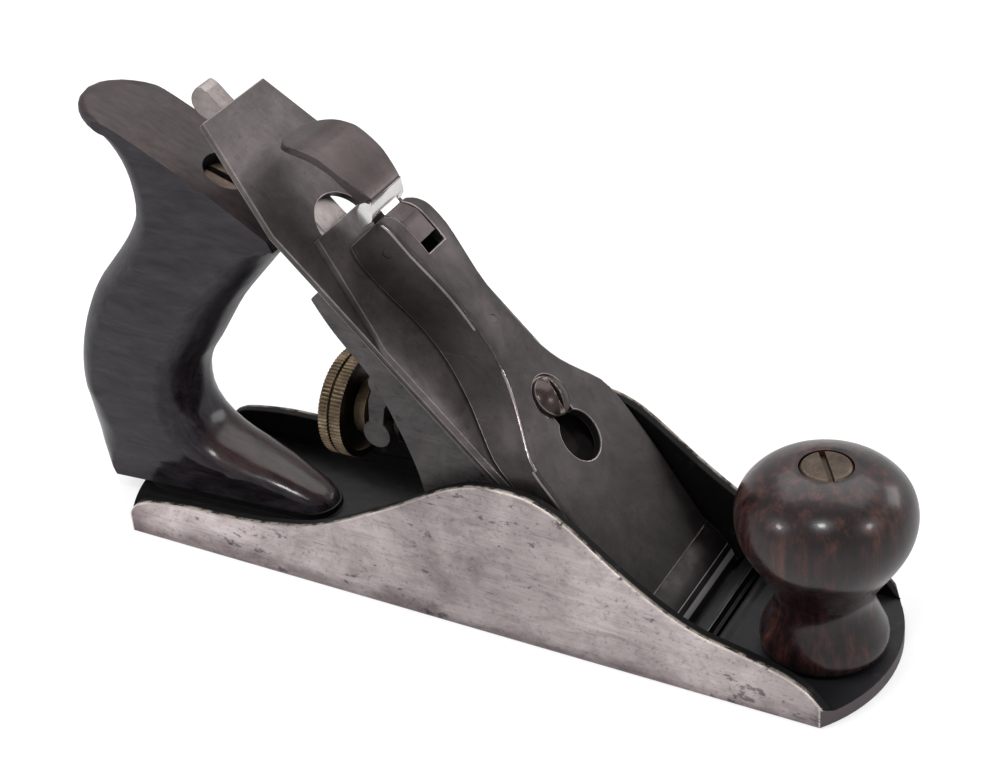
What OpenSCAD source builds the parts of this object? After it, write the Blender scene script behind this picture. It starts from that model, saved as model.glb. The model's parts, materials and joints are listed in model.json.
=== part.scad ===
// Iron bench smoothing plane with an adjustable iron bedded at 45 degrees.
// X runs from heel to toe, Y to the plane's left, Z up; the origin is at the middle of the sole's underside.
// On the bed, s is the distance up the slope from the cutting edge and n the height square to it.

/* [Sole casting] */
// Distance from the origin to the corners at the toe
toe_corner_x = 104; // [100:1:108]
// How far the toe bulges past its corners
toe_bulge = 9.5; // [7:0.5:11]
// Distance from the origin back to the corners at the heel
heel_corner_x = 105; // [102:1:108]
// How far the heel bulges past its corners
heel_bulge = 9; // [7:0.5:11]
// Width over the side walls
body_w = 54.2; // [54:0.1:58]
// Thickness of a side wall
wall_t = 3.4; // [3:0.1:3.6]
// Thickness of the bed plate
bed_t = 4; // [3.6:0.1:4.2]

/* [Cutting iron] */
// Width of the iron
iron_w = 45; // [43:0.5:46]
// Length of the iron from its edge to its top
iron_len = 184; // [176:1:188]
// Thickness of the iron
iron_t = 2; // [1.8:0.1:2.2]
// Width of the iron's square top
iron_top_w = 28; // [24:1:32]
// Distance from the edge at which the iron starts to narrow
iron_shoulder = 151; // [146:1:154]
// Where the iron's upper face meets the plane of the sole
edge_x = 61.9; // [61.7:0.1:62]

/* [Cap iron and lever cap] */
// Length of the cap iron from the cutting edge to its top
cap_len = 143; // [140:1:145]
// Thickness of the cap iron
cap_t = 2; // [1.8:0.1:2]
// Distance of the lever cap's screw from the cutting edge
cap_screw_s = 73; // [72:0.5:74]
// Wall of the lever cap
lever_cap_wall = 2.6; // [2.4:0.1:3]
// Width of the slot for the cam in the lever cap
cam_slot_w = 8; // [7.8:0.1:8.4]

/* [Depth adjuster] */
// Height of the adjusting wheel's axis
wheel_z = 44; // [43:0.5:45]
// Diameter of the adjusting wheel
wheel_d = 30; // [28:0.5:31]
// Number of ribs round each knurled rim
knurl_count = 84; // [60:2:96]

/* [Handles] */
// Thickness of the rear handle
tote_t = 25; // [23:0.5:26]
// Distance of the knob's axis from the origin
knob_x = 94.5; // [93:0.5:95]
// Height of the knob's top
knob_top = 59.3; // [57.3:0.5:61.3]
// Lean of the rear handle's rod from upright
rod_lean = 18.5; // [18:0.1:19.5]

/* [Hidden] */
$fn = 64;

half_w = body_w / 2;
inner_w = body_w - 2 * wall_t;
tilt = 45;
k45 = sin(45);
eps = 0.01;
rod_r = 2.5;
thread_fit = 0.05;

// Smooth curve through a list of points, the ends included
function blend(a, b, c, d, t) =
    0.5 * (2 * b + (c - a) * t + (2 * a - 5 * b + 4 * c - d) * t * t + (3 * b - a - 3 * c + d) * t * t * t);
function curve(p, n) =
    let (m = len(p) - 1)
    concat([for (i = [0 : m - 1], j = [0 : n - 1])
        blend(p[max(i - 1, 0)], p[i], p[i + 1], p[min(i + 2, m)], j / n)], [p[m]]);
function mirrored(p) = concat(p, [for (i = [len(p) - 1 : -1 : 0]) [p[i][0], -p[i][1]]]);
function ellipse_arc(c, r, a0, a1, n) =
    [for (i = [0 : n]) let (a = a0 + (a1 - a0) * i / n) [c[0] + r[0] * cos(a), c[1] + r[1] * sin(a)]];

// Strip of faces that closes a ring from its first pair of points to its last
function ring_cap(c) = [for (i = [0 : floor((c - 3) / 2)])
    each i + 1 == c - 2 - i ? [[i, i + 1, c - 1 - i]] : [[i, i + 1, c - 2 - i], [i, c - 2 - i, c - 1 - i]]];
// The same for a ring p of a taller shape, where the lower one of the two next points is taken each time
function tall_cap(p, a, b) = b - a < 2 ? [] :
    let (up = b - a == 2 || p[a + 1][2] < p[b - 1][2])
    concat([up ? [a, a + 1, b] : [a, b - 1, b]], tall_cap(p, up ? a + 1 : a, up ? b : b - 1));
function reversed(p) = [for (i = [len(p) - 1 : -1 : 0]) p[i]];
// Closed skin over rings of points that all have the same count
module loft(rings, tall = false) {
    m = len(rings);
    c = len(rings[0]);
    cap = tall ? tall_cap(rings[0], 0, c - 1) : ring_cap(c);
    polyhedron(
        points = [for (r = rings, p = r) p],
        faces = concat(
            [for (f = cap) reversed(f)],
            [for (j = [0 : m - 2], i = [0 : c - 1]) [j * c + i, j * c + (i + 1) % c, (j + 1) * c + i]],
            [for (j = [0 : m - 2], i = [0 : c - 1])
                [j * c + (i + 1) % c, (j + 1) * c + (i + 1) % c, (j + 1) * c + i]],
            [for (f = cap) [for (i = f) (m - 1) * c + i]]),
        convexity = 8);
}

// Places children drawn in (s, y, n) on the bed; the mirror turns the slope's direction uphill
module on_bed() {
    translate([edge_x, 0, 0])
        rotate([0, tilt, 0])
            mirror([1, 0, 0])
                children();
}
// Flat outline in (s, y) raised from n0 to n1
module bed_plate(n0, n1) {
    translate([0, 0, n0])
        linear_extrude(n1 - n0)
            children();
}
// Side view in (s, n) with a width w across the bed
module bed_profile(w) {
    rotate([90, 0, 0])
        linear_extrude(w, center = true)
            children();
}
module bed_cyl(s, y, n0, n1, r) {
    translate([s, y, n0])
        cylinder(h = n1 - n0, r = r);
}
// Side view in (x, z) with a width w, centred on the plane
module side_profile(w) {
    rotate([90, 0, 0])
        linear_extrude(w, center = true)
            children();
}

// Sole casting
function arc_r(bulge) = (half_w * half_w + bulge * bulge) / (2 * bulge);
module sole_plan() {
    intersection() {
        translate([-heel_corner_x - heel_bulge, -half_w])
            square([heel_corner_x + heel_bulge + toe_corner_x + toe_bulge, body_w]);
        translate([toe_corner_x + toe_bulge - arc_r(toe_bulge), 0])
            union() {
                circle(arc_r(toe_bulge), $fn = 128);
                translate([-300, -100])
                    square([300, 200]);
            }
        translate([-heel_corner_x - heel_bulge + arc_r(heel_bulge), 0])
            union() {
                circle(arc_r(heel_bulge), $fn = 128);
                translate([0, -100])
                    square([300, 200]);
            }
    }
}
wall_top = curve([[-110, 3.1], [-107.2, 4.4], [-105.3, 6.2], [-104, 8.3], [-101.8, 10.1], [-97, 11.9], [-84, 13.9], [-68, 14.7], [-54, 16.7], [-39.7, 20.8],
    [-18, 32.2], [0, 43.2], [11, 47.3], [22, 47.8], [30, 45.6], [37, 41.2], [48, 32.6], [57, 26.3], [65, 21.6],
    [73, 18.4], [83, 16.3], [93.5, 13.6], [99.6, 10.6], [103, 7.6], [105.4, 4.8], [109, 3]], 4);
module wall_side() {
    polygon(concat([[-110, 0]], wall_top, [[109, 0]]));
}
mouth_w = iron_w + 0.8;
tote_seat = 6;
tote_axis = [-75, 104.4];
rod_foot = [tote_axis[0] - (tote_axis[1] - tote_seat) * tan(rod_lean), tote_seat];
frog_seat_z = 9;
frog_bolt = [33, 12];
module tote_pad() {
    translate([0, 0, 1.5])
        linear_extrude(tote_seat - 1.5)
            hull() {
                translate([-heel_corner_x, 0])
                    circle(11);
                translate([-60, 0])
                    circle(8);
            }
}
module frog_seats() {
    for (side = [-1, 1])
        translate([0, side * 13.5, 0])
            side_profile(11)
                polygon([[-8, 1], [-6, frog_seat_z], [43, frog_seat_z], [47.5, 5], [47.5, 1]]);
}
module mouth_ribs() {
    side_profile(inner_w + 1)
        polygon([[62.2, 1], [62.2, 6.2], [65.8, 6.2], [67.6, 4.9], [70.6, 4.9], [72.4, 3.8], [72.4, 1]]);
}
module sole_casting() {
    color("dimgray")
        difference() {
            union() {
                linear_extrude(bed_t)
                    sole_plan();
                intersection() {
                    linear_extrude(60)
                        sole_plan();
                    union() {
                        for (side = [-1, 1])
                            translate([0, side * (half_w - wall_t / 2), 0])
                                side_profile(wall_t)
                                    wall_side();
                        tote_pad();
                    }
                }
                frog_seats();
                mouth_ribs();
                translate([knob_x, 0, 1])
                    cylinder(h = 6, r = 8.5);
            }
            // Mouth, its rear face parallel to the iron
            side_profile(mouth_w)
                polygon([[57.7, -1], [edge_x + 0.9, -1], [edge_x + 0.9, 4], [63.05, 9], [44, 12.7]]);
            // Groove across the bed between the mouth's ribs
            translate([66.6, -inner_w / 2 - 0.3, 3.3])
                cube([2.4, inner_w + 0.6, 3]);
            // Threaded holes, blind, for the frog's screws and the handles' rods
            for (side = [-1, 1])
                translate([frog_bolt[0], side * frog_bolt[1], 1.5])
                    cylinder(h = 12, r = 2 + thread_fit);
            translate([knob_x, 0, 1.5])
                cylinder(h = 10, r = rod_r + thread_fit);
            translate([rod_foot[0], 0, rod_foot[1]])
                rotate([0, rod_lean, 0])
                    translate([0, 0, -4.4])
                        cylinder(h = 12, r = rod_r + thread_fit);
        }
}

// Frog
face_n = -iron_t - 0.05;
frog_w = 41;
frog_top_s = 133;
web_rear = curve([[-39, 91.5], [-37.2, 88], [-33, 81.5], [-28.5, 76], [-22.3, 69], [-18.6, 62], [-15, 54],
    [-12.6, 48], [-10.7, 42.4], [-9, 35], [-7.6, 25], [-6.4, 16]], 3);
yoke_pivot = [-24, 61];
yoke_hub_r = 4.2;
yoke_w = 19.2;
lug_t = 3.2;
pivot_s = (yoke_pivot[1] - yoke_pivot[0] + edge_x) * k45;
pivot_n = (yoke_pivot[0] + yoke_pivot[1] - edge_x) * k45;
rivet_s = 130;
lever_gap = 2.5;
module frog_side() {
    polygon(concat([[-39.4, 93.4]], web_rear,
        [[-6, frog_seat_z], [46, frog_seat_z], [edge_x + face_n / k45 - 12, 12],
        [edge_x + face_n / k45 - frog_top_s * k45 + 2 * k45 * k45, frog_top_s * k45]]));
}
module frog() {
    color("slategray")
        difference() {
            union() {
                difference() {
                    // Outline of the webs, cut back to the bedding face
                    intersection() {
                        side_profile(frog_w)
                            frog_side();
                        on_bed()
                            translate([0, -40, -60])
                                cube([frog_top_s, 80, 60 + face_n]);
                    }
                    // Hollow between the webs, under the face and over the base
                    intersection() {
                        side_profile(frog_w - 7)
                            polygon([[-60, 13], [40, 13], [60, 13], [-60, 133]]);
                        on_bed()
                            translate([-20, -40, -80])
                                cube([180, 80, 80 + face_n - 4.6]);
                    }
                    // Recess in the face for the lateral lever
                    on_bed()
                        bed_plate(face_n - lever_gap, 5)
                            polygon(mirrored([[108, 8.5], [112, 10], [126, 10], [140, 13.5]]));
                    // Trough for the head of the cap iron's screw
                    on_bed()
                        bed_plate(face_n - 3.4, 5)
                            hull() {
                                translate([44, 0])
                                    circle(10);
                                translate([56, 0])
                                    circle(10);
                            }
                }
                // Boss for the lever cap's screw
                on_bed()
                    bed_cyl(cap_screw_s, 0, -15, face_n, 6);
                // Boss for the stud
                translate([-6, 0, wheel_z])
                    rotate([0, 90, 0])
                        cylinder(h = 17, r = 6);
                // Lugs for the yoke's pin
                for (side = [-1, 1])
                    translate([0, side * (yoke_w / 2 + 0.4 + lug_t / 2), 0])
                        side_profile(lug_t)
                            hull() {
                                translate(yoke_pivot)
                                    circle(4, $fn = 32);
                                polygon([[-14, 69], [-3, 58], [-6, 52], [-14, 53]]);
                            }
            }
            // Window for the yoke's pawl
            on_bed()
                translate([pivot_s - 6, -5, -20])
                    cube([12, 10, 30]);
            // Access for the frog's screws, with seats for their heads on the base
            for (side = [-1, 1])
                translate([frog_bolt[0], side * frog_bolt[1], 0]) {
                    translate([0, 0, 5])
                        cylinder(h = 20, r = 2.6);
                    translate([0, 0, 13])
                        cylinder(h = 30, r = 5.2);
                }
            on_bed() {
                bed_cyl(cap_screw_s, 0, -9, 5, 3 + thread_fit);
                bed_cyl(rivet_s - 4, 0, -12, 5, 1.6 + thread_fit);
            }
            translate([-10, 0, wheel_z])
                rotate([0, 90, 0])
                    cylinder(h = 10.5, r = 3 + thread_fit);
            translate([yoke_pivot[0], 0, yoke_pivot[1]])
                rotate([90, 0, 0])
                    cylinder(h = 40, r = 1.75, center = true);
        }
}
module slotted_head(r, h, slot_w, slot_d) {
    difference() {
        union() {
            cylinder(h = h - 0.6, r = r);
            translate([0, 0, h - 0.6])
                cylinder(h = 0.6, r1 = r, r2 = r - 0.6);
        }
        translate([-r - 1, -slot_w / 2, h - slot_d])
            cube([2 * r + 2, slot_w, slot_d + 1]);
    }
}
module frog_screws() {
    color("gray")
        for (side = [-1, 1])
            translate([frog_bolt[0], side * frog_bolt[1], 0]) {
                translate([0, 0, 2])
                    cylinder(h = 12.2, r = 2);
                translate([0, 0, 14.1])
                    slotted_head(4, 3.2, 1.2, 1.4);
            }
}
module frog_washers() {
    color("silver")
        for (side = [-1, 1])
            translate([frog_bolt[0], side * frog_bolt[1], 13])
                difference() {
                    cylinder(h = 1.1, r = 4.8);
                    translate([0, 0, -1])
                        cylinder(h = 4, r = 2.3);
                }
}

// Depth adjuster
wheel_back = -44.4;
wheel_front = -37.6;
flange_r = 8;
fork_t = 3.6;
stud_back = -50;
fork_r = 4.2;
fork_x = -29.6;
fork_z = 42;
groove_half = fork_r + 0.35;
collar_front = fork_x + groove_half + 1.6;
module along_x(x0, x1, r) {
    translate([x0, 0, wheel_z])
        rotate([0, 90, 0])
            cylinder(h = x1 - x0, r = r);
}
module depth_stud() {
    color("gray")
        along_x(stud_back, 0, 3);
}
module depth_collar() {
    color("darkgoldenrod")
        difference() {
            union() {
                along_x(wheel_back, collar_front, 4.4);
                along_x(wheel_front + 0.1, fork_x - groove_half, flange_r);
                along_x(fork_x + groove_half, collar_front, flange_r);
            }
            along_x(wheel_back - 1, collar_front + 1, 3 + thread_fit);
        }
}
module knurled_rim(x0, x1) {
    intersection() {
        along_x(x0, x1, wheel_d / 2);
        translate([x0 - 1, 0, wheel_z])
            rotate([90, 0, 90])
                linear_extrude(x1 - x0 + 2)
                    polygon([for (i = [0 : 2 * knurl_count - 1])
                        let (a = i * 180 / knurl_count, r = wheel_d / 2 + (i % 2 == 0 ? 0.15 : -0.3))
                        [r * cos(a), r * sin(a)]]);
    }
}
module depth_wheel() {
    color("darkgoldenrod")
        difference() {
            union() {
                knurled_rim(wheel_back, wheel_back + 2.7);
                along_x(wheel_back + 2.7, wheel_back + 3.5, wheel_d / 2 - 1.2);
                knurled_rim(wheel_back + 3.5, wheel_front);
            }
            // Dished faces
            along_x(wheel_front - 1.2, wheel_front + 1, wheel_d / 2 - 2);
            along_x(wheel_back - 1, wheel_back + 1, wheel_d / 2 - 2.4);
            along_x(wheel_back - 5, wheel_front + 5, 4.4 + thread_fit);
        }
}
module yoke_lever() {
    color("gray")
        difference() {
            union() {
                translate([yoke_pivot[0], 0, yoke_pivot[1]])
                    rotate([90, 0, 0])
                        cylinder(h = yoke_w, r = yoke_hub_r, center = true);
                // Pawl that reaches through the frog and the iron into the cap iron
                on_bed()
                    translate([0, 0, 0])
                        bed_profile(7)
                            polygon([[pivot_s - 1.6, pivot_n], [pivot_s - 1.6, 1], [pivot_s - 0.9, 1.8],
                                [pivot_s + 0.9, 1.8], [pivot_s + 1.6, 1], [pivot_s + 1.6, pivot_n]]);
                // Fork arms with their round ends in the collar's groove
                for (side = [-1, 1])
                    translate([0, side * (yoke_w - fork_t) / 2, 0])
                        side_profile(fork_t) {
                            hull() {
                                translate(yoke_pivot)
                                    circle(3.6, $fn = 32);
                                translate([fork_x + 1, 52])
                                    circle(2.6, $fn = 32);
                            }
                            hull() {
                                translate([fork_x + 1, 52])
                                    circle(2.6, $fn = 32);
                                translate([fork_x, fork_z + 2])
                                    circle(2.2, $fn = 32);
                            }
                            translate([fork_x, fork_z])
                                circle(fork_r);
                        }
            }
            translate([yoke_pivot[0], 0, yoke_pivot[1]])
                rotate([90, 0, 0])
                    cylinder(h = 60, r = 1.76, center = true);
        }
}
module yoke_pin() {
    color("silver")
        translate([yoke_pivot[0], 0, yoke_pivot[1]])
            rotate([90, 0, 0])
                cylinder(h = yoke_w + 2 * (lug_t + 0.9), r = 1.7, center = true);
}

// Lateral adjuster
lever_n0 = face_n - 2.2;
lever_n1 = face_n - 0.4;
thumb_tab = concat([[176, lever_n1], [190, lever_n1]],
    curve([[190.4, -2.5], [192.4, -3.2], [192.8, -5.2], [192.2, -7.6], [190.4, -9.4], [187.5, -9.8], [184, -8.6],
    [180, -6.2], [176, lever_n0]], 3));
module lateral_lever() {
    color("silver")
        on_bed()
            difference() {
                union() {
                    // Flat bar from the roller's end to the top
                    bed_plate(lever_n0, lever_n1)
                        polygon(mirrored(concat(ellipse_arc([116.5, 0], [4.5, 4.5], 180, 90, 6),
                            curve([[120, 5.2], [126, 6.6], [132, 6.4], [140, 5.7], [152, 5.4], [166, 4.3],
                            [178, 3.2], [184, 3]], 3))));
                    // Thick tab that is pushed by the thumb, under the iron's top
                    bed_profile(6)
                        polygon(thumb_tab);
                }
                bed_cyl(rivet_s - 4, 0, -12, 5, 1.65);
                bed_cyl(116.5, 0, -12, 5, 1.6 + thread_fit);
            }
}
module lateral_rivet() {
    color("gray")
        on_bed() {
            bed_cyl(rivet_s - 4, 0, -9, lever_n1 + 0.1, 1.6);
            bed_cyl(rivet_s - 4, 0, lever_n1 + 0.05, lever_n1 + 0.35, 3);
        }
}
module lateral_roller() {
    color("silver")
        on_bed() {
            bed_cyl(116.5, 0, lever_n0, -0.4, 1.6);
            bed_cyl(116.5, 0, lever_n1, -0.3, 5.2);
        }
}

// Cutting iron
slot_w = 11;
slot_hole_r = 9.5;
slot_top = 141;
module cutting_iron() {
    color("gray")
        on_bed()
            difference() {
                intersection() {
                    bed_plate(-iron_t, 0)
                        polygon(mirrored([[0.2, iron_w / 2], [iron_shoulder, iron_w / 2],
                            [iron_len, iron_top_w / 2]]));
                    // Ground bevel on the underside
                    bed_profile(iron_w + 2)
                        polygon([[0, 0], [4.4, -iron_t], [iron_len + 2, -iron_t], [iron_len + 2, 1], [0, 1]]);
                }
                translate([38, -slot_w / 2, -5])
                    cube([slot_top - 38, slot_w, 10]);
                bed_cyl(38, 0, -5, 5, slot_w / 2);
                bed_cyl(slot_top, 0, -5, 5, slot_hole_r);
            }
}

// Cap iron with its hump near the edge
hump = curve([[1.6, 0.25], [4, 2.2], [8, 3.7], [13, 4.2], [19, 3.5], [25, cap_t]], 4);
hump_under = curve([[25, 0], [20, 1], [13, 2.1], [8, 1.7], [4, 0.5], [1.6, 0]], 4);
cap_shoulder = 112;
screw_s = 50;
pawl_slot = 4.2;
module cap_iron() {
    color("dimgray")
        on_bed()
            difference() {
                intersection() {
                    bed_plate(-1, 10)
                        polygon(mirrored(concat([[0.5, iron_w / 2]], [[cap_shoulder - 4, iron_w / 2]],
                            curve([[cap_shoulder - 3.5, iron_w / 2], [cap_shoulder, iron_w / 2 - 0.4],
                            [cap_shoulder + 3, iron_w / 2 - 1.5]], 3), [[cap_len, 13.5]])));
                    bed_profile(iron_w + 2)
                        polygon(concat(hump, [[cap_len + 1, cap_t], [cap_len + 1, 0]], hump_under));
                }
                // Slot for the lever cap's screw
                hull() {
                    bed_cyl(cap_screw_s - 5, 0, -5, 9, 4);
                    bed_cyl(cap_screw_s + 5, 0, -5, 9, 4);
                }
                // Slot for the yoke's pawl
                translate([pivot_s - pawl_slot / 2, -4.6, -5])
                    cube([pawl_slot, 9.2, 12]);
                bed_cyl(screw_s, 0, -5, 9, 3.5 + thread_fit);
            }
}
module cap_iron_screw() {
    color("gray")
        on_bed() {
            bed_cyl(screw_s, 0, -iron_t - 0.4, cap_t, 3.5);
            translate([screw_s, 0, -iron_t - 0.35])
                mirror([0, 0, 1])
                    slotted_head(7.6, 2.6, 1.6, 1.2);
        }
}

// Lever cap: sections along s as [s, half width at the top, half width at the foot, top height]
cap_foot_n = 2.7;
cap_shape = curve([[17.6, 19.5, 19.8, 4.75], [20, 21, 21.2, 5.1], [24, 21.8, 22, 5.7], [32, 22.2, 22.3, 6.9],
    [40, 22.2, 22.4, 8.4], [50, 22.2, 22.5, 10], [60, 21.9, 22.5, 11.1], [66, 20.8, 22.4, 11.7],
    [72, 16.8, 21.2, 12.2], [78, 12.8, 18.2, 12.9], [84, 10.1, 14.9, 13.9], [90, 8.4, 12.2, 14.9],
    [96, 7.5, 10, 15.7], [103, 7, 8.6, 16.4], [110, 7.2, 8.2, 17.2], [117, 8.2, 8.8, 18],
    [124, 9.2, 9.4, 18.6], [130, 9.1, 9.2, 18.7], [132.6, 8.6, 8.8, 18.2], [134.6, 7.9, 8.1, 17.1],
    [136, 7, 7.2, 15.6]], 2);
function cap_foot(s) = lookup(s, [[20, 4.55], [22, 4.2], [24, 3.7], [28, 2.9], [30, cap_foot_n]]);
function cap_section(c, inset, drop, foot) =
    let (s = c[0], t = c[1] - inset, b = c[2] - inset, top = c[3] - drop, e = min(1.2, t / 4, (top - foot) * 0.6))
    let (q = [[s, -b, foot], [s, -(b + 2 * t) / 3, foot + (top - foot) * 0.45], [s, -t, top - e * 0.7],
        [s, e * 0.4 - t, top - e * 0.2], [s, e - t, top], [s, -t * 0.4, top + 0.2]])
    concat(q, [for (i = [5 : -1 : 0]) [q[i][0], -q[i][1], q[i][2]]]);
cap_roof = 2.8;
pin_s = 128.5;
pin_n = 12.6;
keyhole_s = 60.5;
module lever_cap() {
    color("dimgray")
        on_bed()
            difference() {
                loft([for (c = cap_shape) cap_section(c, 0, 0, cap_foot(c[0]))]);
                // Hollow underneath, open at the upper end
                loft(concat([for (c = cap_shape) if (c[0] > 30 && c[0] < 130.5)
                    cap_section(c, lever_cap_wall, cap_roof, -2)],
                    [cap_section([138, 8, 8, 17], lever_cap_wall, cap_roof, -2)]));
                // Keyhole for the screw
                bed_cyl(keyhole_s, 0, -5, 30, 7);
                translate([keyhole_s, -3.8, -5])
                    cube([cap_screw_s - keyhole_s, 7.6, 40]);
                bed_cyl(cap_screw_s, 0, -5, 40, 3.8);
                bed_cyl(cap_screw_s, 0, 12.2, 40, 6.3);
                // Slot for the cam at the upper end
                translate([121.5, -cam_slot_w / 2, 8])
                    cube([20, cam_slot_w, 20]);
                translate([pin_s, 0, pin_n])
                    rotate([90, 0, 0])
                        cylinder(h = 40, r = 1.5 + thread_fit, center = true);
                bed_cyl(spring_s, 0, 5, 40, 1.2 + thread_fit);
            }
}
module lever_cap_screw() {
    color("gray")
        on_bed() {
            bed_cyl(cap_screw_s, 0, -8, 12.4, 3);
            intersection() {
                translate([cap_screw_s, 0, 12.3])
                    difference() {
                        intersection() {
                            cylinder(h = 3.4, r = 5.7);
                            translate([0, 0, -4.8])
                                sphere(8.1);
                        }
                        rotate([0, 0, 20])
                            translate([-8, -0.7, 1.5])
                                cube([16, 1.4, 3]);
                    }
                bed_cyl(cap_screw_s, 0, 12.3, 20, 6);
            }
        }
}

// Cam lever: a curled thumb leaf on a knuckle that turns in the lever cap's slot
cam_r = 6.9;
leaf_top = curve([[140.5, 18.3], [141.4, 18.9], [145, 18.9], [150, 18.5], [157, 17.2], [160, 15.7], [163, 13.3],
    [166, 9.6], [167.6, 7.6]], 4);
leaf_under = curve([[166.4, 7.2], [162.8, 10.9], [158.4, 14.2], [153.4, 16.1], [149, 16.3], [145, 15.7],
    [142, 14.4]], 4);
leaf_plan = concat([[139, 6.7]], curve([[140.5, 6.9], [142.5, 7.5], [145, 8.3], [150, 9.6], [157, 9.9],
    [163, 9.2], [166, 7.4], [168, 3.8]], 4), [[169, 1.5]]);
knuckle = concat([[137.2, 11]], curve([[136.9, 14], [137.3, 15.4], [138.2, 16.3], [139.4, 17.1], [140.7, 18.2]], 3),
    [[141.8, 17.4], [142.4, 15.6], [141.8, 13.6], [140.4, 11.6]]);
module cam_lever() {
    color("gray")
        on_bed()
            difference() {
                union() {
                    // Thumb leaf
                    intersection() {
                        bed_profile(24)
                            polygon(concat(leaf_top, leaf_under));
                        bed_plate(0, 30)
                            polygon(mirrored(leaf_plan));
                    }
                    // Knuckle across the lever cap's end
                    bed_profile(16)
                        polygon(knuckle);
                    // Tongue with the cam in the lever cap's slot
                    bed_profile(cam_slot_w - 0.24)
                        union() {
                            intersection() {
                                translate([pin_s, pin_n])
                                    circle(cam_r);
                                polygon([[pin_s - 3.6, 18.5], [pin_s - 3.8, 14], [pin_s - 5, 4], [142, 4],
                                    [142, 18.6]]);
                            }
                            polygon([[pin_s - 3, 18.5], [pin_s, 8], [138, 11.6], [140.6, 13.2], [140.6, 15.5],
                                [138, 15.9], [136, 15.7], [134.6, 17], [132.6, 18.1], [130, 18.6]]);
                        }
                }
                translate([pin_s, 0, pin_n])
                    rotate([90, 0, 0])
                        cylinder(h = 40, r = 1.56, center = true);
            }
}
module cam_pin() {
    color("silver")
        on_bed()
            translate([pin_s, 0, pin_n])
                rotate([90, 0, 0])
                    cylinder(h = 18, r = 1.5, center = true);
}

// Flat spring riveted under the lever cap; the cam presses it on the cap iron
spring_s = 98;
spring_top = curve([[95, 12.4], [98, 12.6], [102, 12.4], [108, 10.6], [115, 7.2], [122, 5.5], [127, 5.3],
    [131, 4.6], [134, 3.5]], 4);
module cap_spring() {
    color("silver")
        on_bed()
            difference() {
                bed_profile(8)
                    polygon(concat(spring_top, [for (i = [len(spring_top) - 1 : -1 : 0])
                        [spring_top[i][0], spring_top[i][1] - 0.9]]));
                bed_cyl(spring_s, 0, 5, 20, 1.25);
            }
}
module spring_rivet() {
    color("gray")
        on_bed() {
            bed_cyl(spring_s, 0, 11.4, 16.05, 1.2);
            bed_cyl(spring_s, 0, 10.7, 11.6, 2.2);
        }
}

// Rear handle: its side view, as smooth stretches between its corners, each point [x, z, roundness]
tote_back = curve([[-122.5, 6, 0], [-125.4, 7.4, 0.1], [-127.6, 9.5, 0.3], [-129.3, 13, 0.5], [-130.4, 17, 0.75],
    [-131, 22, 0.9], [-131.2, 28, 1], [-131.2, 33.5, 1], [-130.9, 39, 1], [-130, 44.5, 1], [-128.6, 50, 1],
    [-126.7, 55.5, 1], [-124.2, 61, 1], [-121.6, 66, 1], [-118.6, 70.5, 1], [-112.4, 78, 1], [-109.5, 81.7, 1],
    [-106.8, 85.5, 1], [-102.9, 92, 1], [-101.5, 98, 1], [-102, 105, 0.9], [-104, 110.6, 0.75],
    [-107.2, 115.8, 0.55], [-110.8, 119.8, 0.3], [-114.5, 122.8, 0.1]], 2);
tote_top = curve([[-116.5, 124.5, 0], [-115.6, 125.9, 0], [-112, 125.9, 0], [-106, 124.2, 0],
    [-97, 120.7, 0], [-85, 114.7, 0], [-70, 106.7, 0], [-55, 97.6, 0]], 2);
tote_front = curve([[-52.6, 94.8, 0.1], [-54.4, 91.6, 0.35], [-60, 87, 0.75], [-64.4, 82, 0.95], [-70, 75.5, 1],
    [-76.6, 67.6, 1], [-81.6, 60, 1], [-86.6, 52, 1], [-91, 45.6, 1], [-93.4, 39, 1], [-93.6, 32, 1],
    [-91.4, 26.4, 0.9], [-86.4, 22, 0.75], [-79, 18.8, 0.55], [-68.6, 15.4, 0.4], [-59.6, 11.6, 0.25],
    [-54, 8.6, 0.1], [-52.4, 6, 0]], 2);
tote_outline = concat(tote_back, tote_top, tote_front);
tote_round = 11;
function unit(v) = v / norm(v);
function ramp(v) = min(max(v, 0), 1);
// A point of the outline moved in by d; g grows towards the sides and rounds the horn and the foot in plan
function tote_point(i, y, d, g) =
    let (p = tote_outline, c = len(p), q = p[i])
    let (t = unit([p[(i + 1) % c][0] - p[(i + c - 1) % c][0], p[(i + 1) % c][1] - p[(i + c - 1) % c][1]]))
    let (horn = ramp((q[1] - 94) / 16) * max(-99 - q[0], 0) * 0.8 * g,
        heel = ramp((34 - q[1]) / 16) * max(-119 - q[0], 0) * 0.75 * g,
        toe = ramp((30 - q[1]) / 8) * max(q[0] + 78, 0) * 0.35 * g,
        low = ramp((30 - q[1]) / 12) * ramp((q[0] + 92) / 38))
    [q[0] + t[1] * d * q[2] + horn + heel - toe, y * (1 - 0.4 * low),
        max(q[1] - t[0] * d * q[2] - 0.36 * horn * ramp((q[1] - 108) / 14), tote_seat)];
tote_steps = 6;
function tote_layers() = [for (j = [-tote_steps : tote_steps])
    let (a = 80 * j / tote_steps, y = j == 0 ? 0 :
        sign(j) * (tote_t / 2 - tote_round + tote_round * sin(abs(a)) / sin(80)))
    let (g = 1 - sqrt(1 - pow(y / (tote_t / 2 + 0.3), 2)))
    [for (i = [0 : len(tote_outline) - 1]) tote_point(i, -y, tote_round * 0.91 * (1 - cos(a)), g)]];
module on_tote_axis() {
    translate([tote_axis[0], 0, tote_axis[1]])
        rotate([0, rod_lean, 0])
            children();
}
module tote() {
    color("saddlebrown")
        difference() {
            loft(tote_layers(), tall = true);
            on_tote_axis() {
                translate([0, 0, -120])
                    cylinder(h = 160, r = rod_r + 0.3);
                translate([0, 0, -1.8])
                    cylinder(h = 30, r = 6.7);
            }
        }
}
rod_len = 107.4;
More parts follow.
